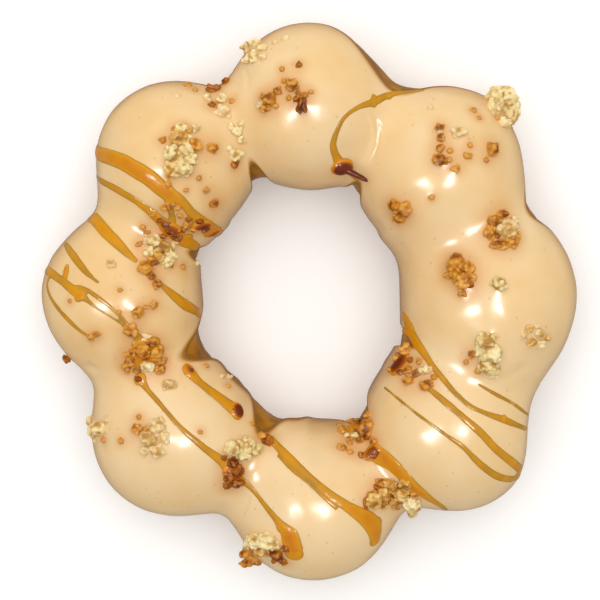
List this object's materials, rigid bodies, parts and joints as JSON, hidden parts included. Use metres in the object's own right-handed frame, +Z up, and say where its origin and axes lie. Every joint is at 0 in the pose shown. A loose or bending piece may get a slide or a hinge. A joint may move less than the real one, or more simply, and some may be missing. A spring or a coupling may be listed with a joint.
{
  "type": "mochi doughnut",
  "caption": "Ring doughnut of fused round dough balls, its upper half coated with pale glaze that carries caramel strands and cookie crumble.",
  "frame": {"origin": "bottom centre of the bounding box, on the surface the doughnut lies on, in the middle of its ring", "axes": "+Z up through the hole; +Y along the slightly longer way across the ring, towards the picture's top; +X towards the picture's right"},
  "size_m": [0.09, 0.0948, 0.0274],
  "materials": {
    "dough": "browned, slightly oily fried crust",
    "icing": "glossy opaque cream-coloured glaze"
  },
  "bodies": {
    "root": {"dough": "dough", "icing": "icing"}
  },
  "joints": []
}
